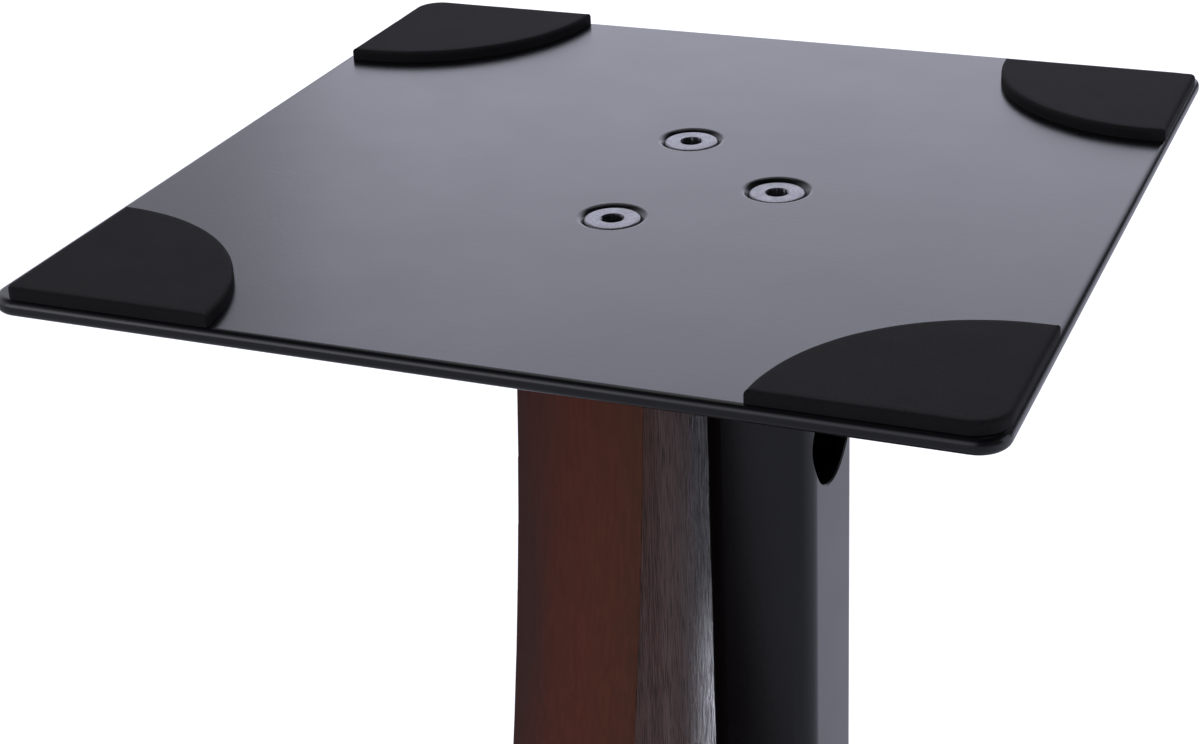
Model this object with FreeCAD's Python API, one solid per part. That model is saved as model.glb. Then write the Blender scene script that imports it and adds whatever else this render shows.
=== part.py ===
import FreeCAD, Part
import math
import os

# A floor stand for one bookshelf loudspeaker. A shaped wooden board is the front, a steel
# column with an inner cable way stands behind it, and both are screwed between two plates.
# Millimetres. +Z is up, -X is the front (the board's broad face), +X is the back.
# The origin is on the floor, under the middle of the base plate.

# ---- driving dimensions -------------------------------------------------------------
# whole stand
STAND_HEIGHT = 610.0          # floor to the top plate's upper face, without the pads

# top plate
TOP_DEPTH = 230.0             # along X
TOP_WIDTH = 220.0             # along Y
TOP_THICKNESS = 4.0
TOP_CORNER_RADIUS = 7.0
TOP_EDGE_SHARE = 0.43         # radius of both rounded edges, as a share of the thickness

# base plate
BASE_DEPTH = 300.0            # along X
BASE_WIDTH = 280.0            # along Y
BASE_THICKNESS = 6.0
BASE_CORNER_RADIUS = 12.0
BASE_EDGE_RADIUS = 1.5
BASE_CLEARANCE = 24.0         # floor to the base plate's lower face

# corner pads: quarter rounds stuck on the top plate, cut and placed by hand
PAD_THICKNESS = 3.0
PAD_CORNER_RADII = {          # where the pad follows the plate's corner
    "front_left": 7.0,
    "front_right": 2.5,
    "rear_left": 1.5,
    "rear_right": 8.0,
}
PAD_INSETS = {                # gap to the plate's edge along X, along Y
    "front_left": (2.7, 1.0),
    "front_right": (5.3, 1.0),
    "rear_left": (0.4, 9.4),
    "rear_right": (0.4, 1.2),
}
PAD_REACHES = {               # from the plate's corner: along X, diagonally, along Y
    "front_left": (55.6, 53.4, 48.4),
    "front_right": (57.0, 54.6, 51.0),
    "rear_left": (50.8, 55.3, 53.5),
    "rear_right": (52.2, 51.2, 49.0),
}

# wooden board: narrow neck under the top plate, flaring down into a straight skirt
BOARD_THICKNESS = 32.0
BOARD_NECK_WIDTH = 88.0
BOARD_NECK_ANGLE = 3.2        # lean of the side edge at the very top, degrees
BOARD_FLARE_ANGLE = 15.5      # steepest lean of the side edge, degrees
BOARD_NECK_RADIUS = 720.0     # hollow curve below the neck
BOARD_SKIRT_RADIUS = 820.0    # round curve into the skirt
BOARD_EDGE_RADIUS = 0.8

# steel column: rounded rectangular tube behind the board
COLUMN_DEPTH = 28.0           # along X
COLUMN_WIDTH = 36.0           # along Y
COLUMN_CORNER_RADIUS = 5.0
COLUMN_WALL = 2.0
COLUMN_GAP = 3.5              # between the board's back and the column
CABLE_HOLE_RADIUS = 15.0
CABLE_HOLE_DROP = 60.5        # top plate's upper face to the upper hole's centre
CABLE_HOLE_RISE = 60.0        # base plate's upper face to the lower hole's centre
CABLE_HOLE_BREAK = 0.35       # small chamfer round each cable hole
BLOCK_HEIGHT = 15.0           # tapped block welded into each end of the column

# flat-head screws
SCREW_RADIUS = 4.0
SCREW_HEAD_RADIUS = 6.7
SCREW_HEAD_LAND = 0.75        # straight rim of the head
BOARD_SCREW_SINK = 0.35       # head's face below the top plate's face, board's screws
COLUMN_SCREW_SINK = 0.6       # the same, column's screw
BASE_SCREW_SINK = 0.4         # head's face above the base plate's underside
SCREW_HEAD_BREAK = 0.45
SCREW_SOCKET_FLATS = 5.0
SCREW_SOCKET_DEPTH = 3.0
SCREW_REACH = 26.0            # screw's tip beyond the plate it holds
SCREW_TIP_BREAK = 0.8
SCREW_LIP_RADIUS = 1.5        # rolled lip of a seat's cone, top plate
TOP_SCREW_SPACING = 53.0      # between the board's two screws, top plate
TOP_SCREW_SETBACK = 2.0       # those two screws behind the board's middle
BASE_SCREW_SPACING = 120.0    # between the board's two screws, base plate

# threaded inserts in the board's ends
INSERT_RADIUS = 6.0
INSERT_LENGTH = 20.0
INSERT_HOLE_SPARE = 10.0      # the board's hole runs on past the insert

# levelling spikes, their lock nuts and floor discs
FOOT_INSET = 26.0             # spike's axis to the base plate's edges
SPIKE_TIP_RADIUS = 0.6
SPIKE_CONE_RADIUS = 5.0
SPIKE_CONE_HEIGHT = 8.4
SPIKE_COLLAR_FLATS = 14.0
SPIKE_COLLAR_HEIGHT = 6.0
SPIKE_SHANK_RADIUS = 4.0
SPIKE_SHANK_PROUD = 4.0       # shank's end above the lock nut
SPIKE_SOCKET_FLATS = 4.0
SPIKE_SOCKET_DEPTH = 4.0
SPIKE_SHANK_BREAK = 0.6
NUT_FLATS = 13.0
NUT_HEIGHT = 5.0
DISC_RADIUS = 13.0
DISC_HEIGHT = 5.0
DISC_BREAK = 1.0
DISC_DIMPLE_RADIUS = 4.0
DISC_DIMPLE_DEPTH = 2.5
FELT_RADIUS = 12.0
FELT_THICKNESS = 1.5
TIP_GAP = 0.3                 # spike's tip above the dimple's floor

# clearances
THREAD_CLEARANCE = 0.05       # radial, screw or shank in its thread
HOLE_CLEARANCE = 0.5          # radial, screw through a plate
SEAT_CLEARANCE = 0.05         # screw head above its seat
INSERT_CLEARANCE = 0.05       # radial, insert in the board

# ---- places that follow from them -----------------------------------------------------
TOP_FACE = STAND_HEIGHT
TOP_UNDERSIDE = TOP_FACE - TOP_THICKNESS
BASE_UNDERSIDE = BASE_CLEARANCE
BASE_FACE = BASE_UNDERSIDE + BASE_THICKNESS
BOARD_BACK = BOARD_THICKNESS / 2
COLUMN_X = BOARD_BACK + COLUMN_GAP + COLUMN_DEPTH / 2
COLUMN_BACK = COLUMN_X + COLUMN_DEPTH / 2
TOP_HOLE_Z = TOP_FACE - CABLE_HOLE_DROP
BASE_HOLE_Z = BASE_FACE + CABLE_HOLE_RISE
DISC_TOP = FELT_THICKNESS + DISC_HEIGHT
SPIKE_TIP_Z = DISC_TOP - DISC_DIMPLE_DEPTH + TIP_GAP
SPIKE_COLLAR_Z = SPIKE_TIP_Z + SPIKE_CONE_HEIGHT
SPIKE_SHANK_TOP = BASE_FACE + NUT_HEIGHT + SPIKE_SHANK_PROUD
TOP_SCREW_PLACES = [(TOP_SCREW_SETBACK, -TOP_SCREW_SPACING / 2), (TOP_SCREW_SETBACK, TOP_SCREW_SPACING / 2)]
BASE_SCREW_PLACES = [(0.0, -BASE_SCREW_SPACING / 2), (0.0, BASE_SCREW_SPACING / 2)]
COLUMN_SCREW_PLACE = (COLUMN_X, 0.0)
CORNERS = {                   # sign along X, sign along Y
    "front_left": (-1, 1),
    "front_right": (-1, -1),
    "rear_left": (1, 1),
    "rear_right": (1, -1),
}
UP = FreeCAD.Vector(0, 0, 1)
BACK = FreeCAD.Vector(1, 0, 0)
SPARE = 1.0                   # how far a cutting body runs past the face it opens


def vector(x, y, z=0.0):
    return FreeCAD.Vector(x, y, z)


def cylinder(radius, height, x=0.0, y=0.0, z=0.0, axis=UP):
    return Part.makeCylinder(radius, height, vector(x, y, z), axis)


def turned(profile):
    """A closed (radius, height) outline turned about the Z axis."""
    points = [vector(radius, 0, height) for radius, height in profile]
    wire = Part.makePolygon(points + points[:1])
    return Part.Face(wire).revolve(vector(0, 0, 0), UP, 360)


def hexagon(flats, height, z=0.0):
    """A hexagonal prism, its distance across flats given, standing on z."""
    corner_radius = flats / math.sqrt(3)
    corners = []
    for step in range(7):
        angle = math.radians(60 * step)
        corners.append(vector(corner_radius * math.cos(angle), corner_radius * math.sin(angle), z))
    return Part.Face(Part.makePolygon(corners)).extrude(UP * height)


def rounded_block(size_x, size_y, height, radius, x=0.0, y=0.0, z=0.0):
    """An upright block with its four upright edges rounded, centred on x, y."""
    block = Part.makeBox(size_x, size_y, height, vector(x - size_x / 2, y - size_y / 2, z))
    upright = [edge for edge in block.Edges if is_upright(edge)]
    return block.makeFillet(radius, upright)


def is_upright(edge):
    first, last = edge.Vertexes[0].Point, edge.Vertexes[-1].Point
    return math.hypot(last.x - first.x, last.y - first.y) < 1e-6


def rim_edges(plate):
    """The edges that run round a plate's outline, above and below."""
    return [edge for edge in plate.Edges if not is_upright(edge)]


def edge_at(shape, x, y, z, radius):
    """The circular edges of one radius about an upright axis at one height."""
    found = []
    for edge in shape.Edges:
        curve = edge.Curve
        if not isinstance(curve, Part.Circle) or abs(curve.Radius - radius) > 1e-4:
            continue
        if curve.Center.distanceToPoint(vector(x, y, z)) < 1e-4:
            found.append(edge)
    return found


def copied(shape, x, y, z=0.0):
    return shape.translated(vector(x, y, z))


def export(name, shapes):
    """Write one sub-part; several shapes stay separate solids in one file."""
    if not isinstance(shapes, list):
        shapes = [shapes]
    shape = shapes[0] if len(shapes) == 1 else Part.makeCompound(shapes)
    volume = sum(solid.Volume for solid in shape.Solids)
    print("%-28s %d solid(s) %9.0f mm3 valid %s" % (name, len(shape.Solids), volume, shape.isValid()))
    shape.exportStep(os.path.join("parts", name + ".step"))


# ---- screws ---------------------------------------------------------------------------
def flat_head_screw(plate_thickness, sink):
    """A flat-head socket screw pointing down, with the plate's face at height 0."""
    shank = SCREW_RADIUS - THREAD_CLEARANCE
    top = -sink
    land = top - SCREW_HEAD_LAND
    neck = land - (SCREW_HEAD_RADIUS - shank)
    tip = -plate_thickness - SCREW_REACH
    screw = turned([
        (0, top),
        (SCREW_HEAD_RADIUS - SCREW_HEAD_BREAK, top),
        (SCREW_HEAD_RADIUS, top - SCREW_HEAD_BREAK),
        (SCREW_HEAD_RADIUS, land),
        (shank, neck),
        (shank, tip + SCREW_TIP_BREAK),
        (shank - SCREW_TIP_BREAK, tip),
        (0, tip),
    ])
    return screw.cut(hexagon(SCREW_SOCKET_FLATS, SCREW_SOCKET_DEPTH, top - SCREW_SOCKET_DEPTH))


def seat_radius(sink):
    """Radius of a screw seat's cone where it meets the plate's face."""
    return SCREW_HEAD_RADIUS + SEAT_CLEARANCE * math.sqrt(2) + sink + SCREW_HEAD_LAND


def seat_cutter(plate_thickness, sink):
    """The sunk seat and through hole of one screw, with the plate's face at height 0."""
    rim = seat_radius(sink)
    hole = SCREW_RADIUS + HOLE_CLEARANCE
    return turned([
        (0, 0),
        (rim, 0),
        (hole, hole - rim),
        (hole, -plate_thickness - SPARE),
        (0, -plate_thickness - SPARE),
    ])


def upside_down(shape):
    return shape.rotated(vector(0, 0, 0), BACK, 180)


# ---- plates ---------------------------------------------------------------------------
def make_top_plate():
    plate = rounded_block(TOP_DEPTH, TOP_WIDTH, TOP_THICKNESS, TOP_CORNER_RADIUS, z=TOP_UNDERSIDE)
    plate = plate.makeFillet(TOP_EDGE_SHARE * TOP_THICKNESS, rim_edges(plate))
    seats = [(place, BOARD_SCREW_SINK) for place in TOP_SCREW_PLACES]
    seats.append((COLUMN_SCREW_PLACE, COLUMN_SCREW_SINK))
    for (x, y), sink in seats:
        plate = plate.cut(copied(seat_cutter(TOP_THICKNESS, sink), x, y, TOP_FACE))
        lip = edge_at(plate, x, y, TOP_FACE, seat_radius(sink))
        plate = plate.makeFillet(SCREW_LIP_RADIUS, lip)
    return plate


def foot_places():
    places = {}
    for corner, (side_x, side_y) in CORNERS.items():
        places[corner] = (side_x * (BASE_DEPTH / 2 - FOOT_INSET), side_y * (BASE_WIDTH / 2 - FOOT_INSET))
    return places


def make_base_plate():
    plate = rounded_block(BASE_DEPTH, BASE_WIDTH, BASE_THICKNESS, BASE_CORNER_RADIUS, z=BASE_UNDERSIDE)
    plate = plate.makeFillet(BASE_EDGE_RADIUS, rim_edges(plate))
    for x, y in BASE_SCREW_PLACES + [COLUMN_SCREW_PLACE]:
        seat = upside_down(seat_cutter(BASE_THICKNESS, BASE_SCREW_SINK))
        plate = plate.cut(copied(seat, x, y, BASE_UNDERSIDE))
    for x, y in foot_places().values():
        plate = plate.cut(cylinder(SPIKE_SHANK_RADIUS, BASE_THICKNESS + 2 * SPARE, x, y, BASE_UNDERSIDE - SPARE))
    return plate


def make_pad(corner):
    """A quarter round whose straight sides run along the plate's edges."""
    side_x, side_y = CORNERS[corner]
    inset_x, inset_y = PAD_INSETS[corner]
    radius = PAD_CORNER_RADII[corner]
    reach_x, reach_diagonal, reach_y = PAD_REACHES[corner]
    diagonal = reach_diagonal / math.sqrt(2)

    def point(from_edge_x, from_edge_y):
        return vector(side_x * (TOP_DEPTH / 2 - from_edge_x), side_y * (TOP_WIDTH / 2 - from_edge_y), TOP_FACE)

    along_x = point(reach_x, inset_y)
    along_y = point(inset_x, reach_y)
    turn_in = point(inset_x + radius, inset_y)
    turn_out = point(inset_x, inset_y + radius)
    shy = radius * (1 - math.sqrt(0.5))
    outline = Part.Wire([
        Part.Arc(along_x, point(diagonal, diagonal), along_y).toShape(),
        Part.LineSegment(along_y, turn_out).toShape(),
        Part.Arc(turn_out, point(inset_x + shy, inset_y + shy), turn_in).toShape(),
        Part.LineSegment(turn_in, along_x).toShape(),
    ])
    return Part.Face(outline).extrude(UP * PAD_THICKNESS)


# ---- board ----------------------------------------------------------------------------
def board_side_points():
    """The board's right-hand edge from the top down, as (half width, height)."""
    neck = math.radians(BOARD_NECK_ANGLE)
    flare = math.radians(BOARD_FLARE_ANGLE)
    half = BOARD_NECK_WIDTH / 2

    def on_neck(angle):
        out = half + BOARD_NECK_RADIUS * (math.cos(neck) - math.cos(angle))
        return out, TOP_UNDERSIDE - BOARD_NECK_RADIUS * (math.sin(angle) - math.sin(neck))

    bend_out, bend_z = on_neck(flare)

    def on_skirt(angle):
        out = bend_out + BOARD_SKIRT_RADIUS * (math.cos(angle) - math.cos(flare))
        return out, bend_z - BOARD_SKIRT_RADIUS * (math.sin(flare) - math.sin(angle))

    return [on_neck(neck), on_neck((neck + flare) / 2), on_neck(flare), on_skirt(flare / 2), on_skirt(0.0)]


def make_board():
    """The outline is drawn in the Y-Z plane and given the board's thickness along X."""
    def side(sign):
        top, neck_middle, bend, skirt_middle, skirt = [
            vector(-BOARD_BACK, sign * half, z) for half, z in board_side_points()]
        foot = vector(-BOARD_BACK, skirt.y, BASE_FACE)
        edges = [
            Part.Arc(top, neck_middle, bend).toShape(),
            Part.Arc(bend, skirt_middle, skirt).toShape(),
            Part.LineSegment(skirt, foot).toShape(),
        ]
        return top, foot, edges

    left_top, left_foot, left_edges = side(1)
    right_top, right_foot, right_edges = side(-1)
    head = Part.LineSegment(left_top, right_top).toShape()
    sole = Part.LineSegment(left_foot, right_foot).toShape()
    outline = Part.Wire(Part.__sortEdges__(left_edges + right_edges + [head, sole]))
    board = Part.Face(outline).extrude(BACK * BOARD_THICKNESS)
    long_edges = [edge for edge in board.Edges if runs_down_the_board(edge)]
    board = board.makeFillet(BOARD_EDGE_RADIUS, long_edges)
    hole = INSERT_RADIUS + INSERT_CLEARANCE
    depth = INSERT_LENGTH + INSERT_HOLE_SPARE
    for x, y in TOP_SCREW_PLACES:
        board = board.cut(cylinder(hole, depth + SPARE, x, y, TOP_UNDERSIDE - depth))
    for x, y in BASE_SCREW_PLACES:
        board = board.cut(cylinder(hole, depth + SPARE, x, y, BASE_FACE - SPARE))
    return board


def runs_down_the_board(edge):
    """True for the four long edges, front and back, that follow the board's outline."""
    box = edge.BoundBox
    return box.ZLength > 1.0 and box.XLength < 1e-6


def make_insert(x, y, z):
    outside = cylinder(INSERT_RADIUS, INSERT_LENGTH, x, y, z)
    return outside.cut(cylinder(SCREW_RADIUS, INSERT_LENGTH + 2 * SPARE, x, y, z - SPARE))


# ---- column ---------------------------------------------------------------------------
def make_column():
    height = TOP_UNDERSIDE - BASE_FACE
    outside = rounded_block(COLUMN_DEPTH, COLUMN_WIDTH, height, COLUMN_CORNER_RADIUS, COLUMN_X, 0, BASE_FACE)
    inside = rounded_block(COLUMN_DEPTH - 2 * COLUMN_WALL, COLUMN_WIDTH - 2 * COLUMN_WALL,
                           height + 2 * SPARE, COLUMN_CORNER_RADIUS - COLUMN_WALL,
                           COLUMN_X, 0, BASE_FACE - SPARE)
    column = outside.cut(inside)
    for z in (TOP_HOLE_Z, BASE_HOLE_Z):
        column = column.cut(cylinder(CABLE_HOLE_RADIUS, COLUMN_DEPTH, COLUMN_X, 0, z, BACK))
    return column.makeChamfer(CABLE_HOLE_BREAK, cable_hole_rims(column))


def cable_hole_rims(column):
    """The outer edges of the cable holes, which cross the column's rounded corners."""
    rims = []
    for edge in column.Edges:
        box = edge.BoundBox
        outside = box.XMin > COLUMN_BACK - COLUMN_WALL + 0.1
        near_hole = min(abs(box.Center.z - TOP_HOLE_Z), abs(box.Center.z - BASE_HOLE_Z)) <= CABLE_HOLE_RADIUS
        if outside and near_hole and box.ZLength <= 2 * CABLE_HOLE_RADIUS + 0.1:
            rims.append(edge)
    return rims


def make_column_block(z):
    """The tapped block bears on the column's four inner walls, clear of its corners."""
    size_x = COLUMN_DEPTH - 2 * COLUMN_WALL
    size_y = COLUMN_WIDTH - 2 * COLUMN_WALL
    block = Part.makeBox(size_x, size_y, BLOCK_HEIGHT, vector(COLUMN_X - size_x / 2, -size_y / 2, z))
    corners = [edge for edge in block.Edges if is_upright(edge)]
    block = block.makeChamfer(COLUMN_CORNER_RADIUS - COLUMN_WALL, corners)
    return block.cut(cylinder(SCREW_RADIUS, BLOCK_HEIGHT + 2 * SPARE, COLUMN_X, 0, z - SPARE))


# ---- feet -----------------------------------------------------------------------------
def make_spike():
    """Tip, cone, wrench collar and threaded shank, standing on its own axis."""
    shank = SPIKE_SHANK_RADIUS - THREAD_CLEARANCE
    collar_top = SPIKE_COLLAR_Z + SPIKE_COLLAR_HEIGHT
    pin = turned([
        (0, SPIKE_TIP_Z),
        (SPIKE_TIP_RADIUS, SPIKE_TIP_Z),
        (SPIKE_CONE_RADIUS, SPIKE_COLLAR_Z),
        (SPIKE_CONE_RADIUS, collar_top),
        (shank, collar_top),
        (shank, SPIKE_SHANK_TOP - SPIKE_SHANK_BREAK),
        (shank - SPIKE_SHANK_BREAK, SPIKE_SHANK_TOP),
        (0, SPIKE_SHANK_TOP),
    ])
    collar = eased_hexagon(SPIKE_COLLAR_FLATS, SPIKE_COLLAR_HEIGHT, SPIKE_COLLAR_Z)
    socket = hexagon(SPIKE_SOCKET_FLATS, SPIKE_SOCKET_DEPTH, SPIKE_SHANK_TOP - SPIKE_SOCKET_DEPTH)
    return pin.fuse(collar).removeSplitter().cut(socket)


def eased_hexagon(flats, height, z):
    """A hexagonal prism whose corners are turned off above and below, as on a nut."""
    corner = flats / math.sqrt(3)
    ease = corner - flats / 2
    rise = ease * math.tan(math.radians(30))
    barrel = turned([
        (0, z), (corner - ease, z), (corner, z + rise), (corner, z + height - rise),
        (corner - ease, z + height), (0, z + height),
    ])
    return hexagon(flats, height, z).common(barrel)


def make_nut():
    nut = eased_hexagon(NUT_FLATS, NUT_HEIGHT, BASE_FACE)
    return nut.cut(cylinder(SPIKE_SHANK_RADIUS, NUT_HEIGHT + 2 * SPARE, z=BASE_FACE - SPARE))


def make_disc():
    """A floor disc with a cone-shaped dimple for the spike's tip."""
    return turned([
        (0, FELT_THICKNESS),
        (DISC_RADIUS, FELT_THICKNESS),
        (DISC_RADIUS, DISC_TOP - DISC_BREAK),
        (DISC_RADIUS - DISC_BREAK, DISC_TOP),
        (DISC_DIMPLE_RADIUS, DISC_TOP),
        (SPIKE_TIP_RADIUS, DISC_TOP - DISC_DIMPLE_DEPTH),
        (0, DISC_TOP - DISC_DIMPLE_DEPTH),
    ])


# ---- the whole stand ------------------------------------------------------------------
def main():
    os.makedirs("parts", exist_ok=True)
    export("top_plate", make_top_plate())
    export("base_plate", make_base_plate())
    for corner in CORNERS:
        export("corner_pad_" + corner, make_pad(corner))

    export("wood_board", make_board())
    export("board_top_inserts", [make_insert(x, y, TOP_UNDERSIDE - INSERT_LENGTH) for x, y in TOP_SCREW_PLACES])
    export("board_base_inserts", [make_insert(x, y, BASE_FACE) for x, y in BASE_SCREW_PLACES])

    export("steel_column", make_column())
    export("column_top_block", make_column_block(TOP_UNDERSIDE - BLOCK_HEIGHT))
    export("column_base_block", make_column_block(BASE_FACE))

    board_screw = flat_head_screw(TOP_THICKNESS, BOARD_SCREW_SINK)
    column_screw = flat_head_screw(TOP_THICKNESS, COLUMN_SCREW_SINK)
    base_screw = upside_down(flat_head_screw(BASE_THICKNESS, BASE_SCREW_SINK))
    export("top_board_screws", [copied(board_screw, x, y, TOP_FACE) for x, y in TOP_SCREW_PLACES])
    export("top_column_screw", copied(column_screw, *COLUMN_SCREW_PLACE, TOP_FACE))
    export("base_board_screws", [copied(base_screw, x, y, BASE_UNDERSIDE) for x, y in BASE_SCREW_PLACES])
    export("base_column_screw", copied(base_screw, *COLUMN_SCREW_PLACE, BASE_UNDERSIDE))

    for corner, (x, y) in foot_places().items():
        export("spike_" + corner, copied(make_spike(), x, y))
        export("lock_nut_" + corner, copied(make_nut(), x, y))
        export("floor_disc_" + corner, copied(make_disc(), x, y))
        export("felt_disc_" + corner, cylinder(FELT_RADIUS, FELT_THICKNESS, x, y))


main()
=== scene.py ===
# %% [markdown]
# # A loudspeaker stand, dressed for its portrait
# The stand's steel, wood and fasteners come ready made as a frame of solid pieces, in metres,
# with +Z up and the floor at z = 0. This lesson sets up the camera and the studio, gives every
# piece its finish, and remakes the soft and the finely turned pieces as meshes.
# The pieces are placed from the frame's own boxes, so nothing has to be fitted by eye.

# %% Load the frame
import math

import bmesh
import bpy
import numpy as np
from mathutils import Matrix, Vector, noise


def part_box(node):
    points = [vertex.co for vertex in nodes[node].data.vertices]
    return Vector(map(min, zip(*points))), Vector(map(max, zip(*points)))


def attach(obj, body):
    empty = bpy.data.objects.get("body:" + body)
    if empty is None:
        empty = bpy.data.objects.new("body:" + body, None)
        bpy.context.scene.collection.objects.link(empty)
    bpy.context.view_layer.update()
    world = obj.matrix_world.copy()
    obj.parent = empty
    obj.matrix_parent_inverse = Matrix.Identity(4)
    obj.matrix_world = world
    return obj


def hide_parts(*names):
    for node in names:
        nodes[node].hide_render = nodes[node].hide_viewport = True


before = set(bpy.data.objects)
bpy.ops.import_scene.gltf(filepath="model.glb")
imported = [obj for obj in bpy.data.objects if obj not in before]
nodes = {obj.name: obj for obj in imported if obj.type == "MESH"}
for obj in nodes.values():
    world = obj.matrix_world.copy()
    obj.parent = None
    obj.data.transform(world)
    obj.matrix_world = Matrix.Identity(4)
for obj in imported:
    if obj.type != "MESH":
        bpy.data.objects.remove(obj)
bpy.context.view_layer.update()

CORNERS = ("front_left", "front_right", "rear_left", "rear_right")

# %% [markdown]
# ## The camera
# The photograph looks down on the top plate from the rear right corner, close by, with a short
# telephoto lens. A camera is a place, three angles and a focal length. The place is given from
# the middle of the top plate's upper face, because the plate is the only part of the stand that
# the picture shows whole. The camera starts out looking along +Y, and then yaws to the left,
# pitches down and rolls a little about its own line of sight.

# %% Camera
PHOTO_WIDTH = 1200
SENSOR_WIDTH = 36.0
FOCAL_LENGTH_PX = 2353.7
CAMERA_FROM_PLATE = Vector((0.2009, -0.4948, 0.2073))
CAMERA_YAW = math.radians(23.529)
CAMERA_PITCH = math.radians(25.929)
CAMERA_ROLL = math.radians(-2.771)
NEAREST_SEEN, FURTHEST_SEEN = 0.02, 50.0

_, plate_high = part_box("top_plate")
plate_middle = Vector((0.0, 0.0, plate_high.z))


def aim_camera():
    data = bpy.data.cameras.new("photo_camera")
    data.sensor_width = SENSOR_WIDTH
    data.lens = FOCAL_LENGTH_PX / PHOTO_WIDTH * SENSOR_WIDTH
    data.clip_start, data.clip_end = NEAREST_SEEN, FURTHEST_SEEN
    camera = bpy.data.objects.new("photo_camera", data)
    bpy.context.scene.collection.objects.link(camera)
    upright = Matrix.Rotation(math.pi / 2, 4, "X")
    turn = Matrix.Rotation(CAMERA_YAW, 4, "Z") @ upright
    tilt = Matrix.Rotation(-CAMERA_PITCH, 4, "X") @ Matrix.Rotation(CAMERA_ROLL, 4, "Z")
    camera.matrix_world = Matrix.Translation(plate_middle + CAMERA_FROM_PLATE) @ turn @ tilt
    bpy.context.scene.camera = camera
    return camera


camera = aim_camera()
print("camera at", [round(v, 4) for v in camera.matrix_world.translation],
      "lens", round(camera.data.lens, 2))

# %% [markdown]
# ## The studio's lamps
# A product picture like this one is lit by big soft lamps in a white room. A soft lamp is an
# area light: it gives broad highlights with gentle ends. What satin black paint shows is almost
# only the reflection of those lamps and of the white room, so their places matter more than
# their power. Each lamp is described by its brightness as a surface, and the power follows from
# its area, so that a lamp can be made larger without making its reflection brighter. The low
# lamp lights the board and the column from the right, and leaves no mirror image in them.

# %% Soft lamps
WHITE = (1.0, 1.0, 1.0)
SKY = (0.80, 0.82, 1.0)
SOFTBOXES = (
    # name, place, the point it looks at, width, height, brightness, tint
    ("back_softbox", (-0.3, 3.1, 1.9), (0.0, 0.0, 0.6), 3.2, 2.2, 0.98, SKY),
    ("overhead_softbox", (-0.4, 1.0, 2.7), (0.0, 0.0, 0.5), 1.6, 1.2, 0.75, WHITE),
    ("front_softbox", (-1.8, -2.6, 1.3), (0.0, 0.0, 0.4), 1.8, 1.4, 1.1, WHITE),
    ("right_softbox", (2.6, 0.9, 1.0), (0.0, 0.0, 0.4), 1.6, 1.8, 0.9, SKY),
    ("low_softbox", (1.5, -0.1, 0.30), (0.0, 0.0, 0.45), 1.4, 0.5, 2.6, SKY),
)


def softbox(name, place, target, width, height, brightness, tint):
    data = bpy.data.lights.new(name, "AREA")
    data.shape = "RECTANGLE"
    data.size = width
    data.size_y = height
    data.energy = brightness * math.pi * width * height
    data.color = tint
    lamp = bpy.data.objects.new(name, data)
    bpy.context.scene.collection.objects.link(lamp)
    lamp.location = place
    aim = Vector(target) - Vector(place)
    lamp.rotation_euler = aim.to_track_quat("-Z", "Y").to_euler()
    lamp.visible_camera = False
    return lamp


lamps = {settings[0]: softbox(*settings) for settings in SOFTBOXES}
lamps["low_softbox"].visible_glossy = False
print("lamps:", ", ".join(lamps))

# %% [markdown]
# ## Short ways to make shader nodes
# A shader is a tree of small nodes whose sockets are joined. Four helpers keep this lesson
# short. One feeds a socket with a number, a colour or another node's output. One adds a node
# with its inputs fed, one does a sum, and one stretches a span of numbers to another span.

# %% Node helpers
def feed(tree, socket, value):
    if isinstance(value, bpy.types.NodeSocket):
        tree.links.new(value, socket)
    elif isinstance(value, tuple):
        socket.default_value = (*value, 1.0)
    else:
        socket.default_value = value


def add_node(tree, kind, inputs=None, **settings):
    """A node with its settings made and its inputs fed, which are named or numbered."""
    node = tree.nodes.new(kind)
    for key, value in settings.items():
        setattr(node, key, value)
    for key, value in (inputs or {}).items():
        feed(tree, node.inputs[key], value)
    return node


def calc(tree, operation, first, second=0.0):
    inputs = {0: first, 1: second}
    return add_node(tree, "ShaderNodeMath", inputs, operation=operation).outputs[0]


def stretch(tree, value, low, high, out_low, out_high, easing="LINEAR"):
    """The span low..high of a value stretched to out_low..out_high, and held outside it."""
    inputs = {"Value": value, "From Min": low, "From Max": high,
              "To Min": out_low, "To Max": out_high}
    return add_node(tree, "ShaderNodeMapRange", inputs, interpolation_type=easing).outputs[0]


# %% [markdown]
# ## White room
# The room shows pure white behind the stand. Light Path tells a material or the world what kind
# of ray is asking: for camera rays the world is white at strength 1. Metal and gloss mirror that
# white too, but a studio's ceiling stays dim, and a black flag stands to the right of the lamp
# behind the stand, which gives the plate's edge and the screw seats their black outlines. So for
# glossy rays the white fades out overhead and towards +X. The soft bounce light gets a dimmer,
# bluish grey.

# %% World
ROOM_GREY = 0.45
ROOM_MIRRORED = (0.86, 0.87, 1.0)
CEILING_STARTS, CEILING_FULL, CEILING_DARK = 0.42, 0.80, 0.05
FLAG_STARTS, FLAG_FULL, FLAG_DARK = 0.02, 0.26, 0.10


def shown_rays(tree, *kinds):
    """1 where any of these kinds of ray is asking, else 0."""
    path = tree.nodes.new("ShaderNodeLightPath")
    total = path.outputs[kinds[0]]
    for kind in kinds[1:]:
        total = calc(tree, "MAXIMUM", total, path.outputs[kind])
    return total


def backdrop(tree, colour, strength):
    inputs = {"Color": colour, "Strength": strength}
    return add_node(tree, "ShaderNodeBackground", inputs).outputs[0]


def blend_shaders(tree, amount, first, second):
    return add_node(tree, "ShaderNodeMixShader", {0: amount, 1: first, 2: second}).outputs[0]


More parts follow.
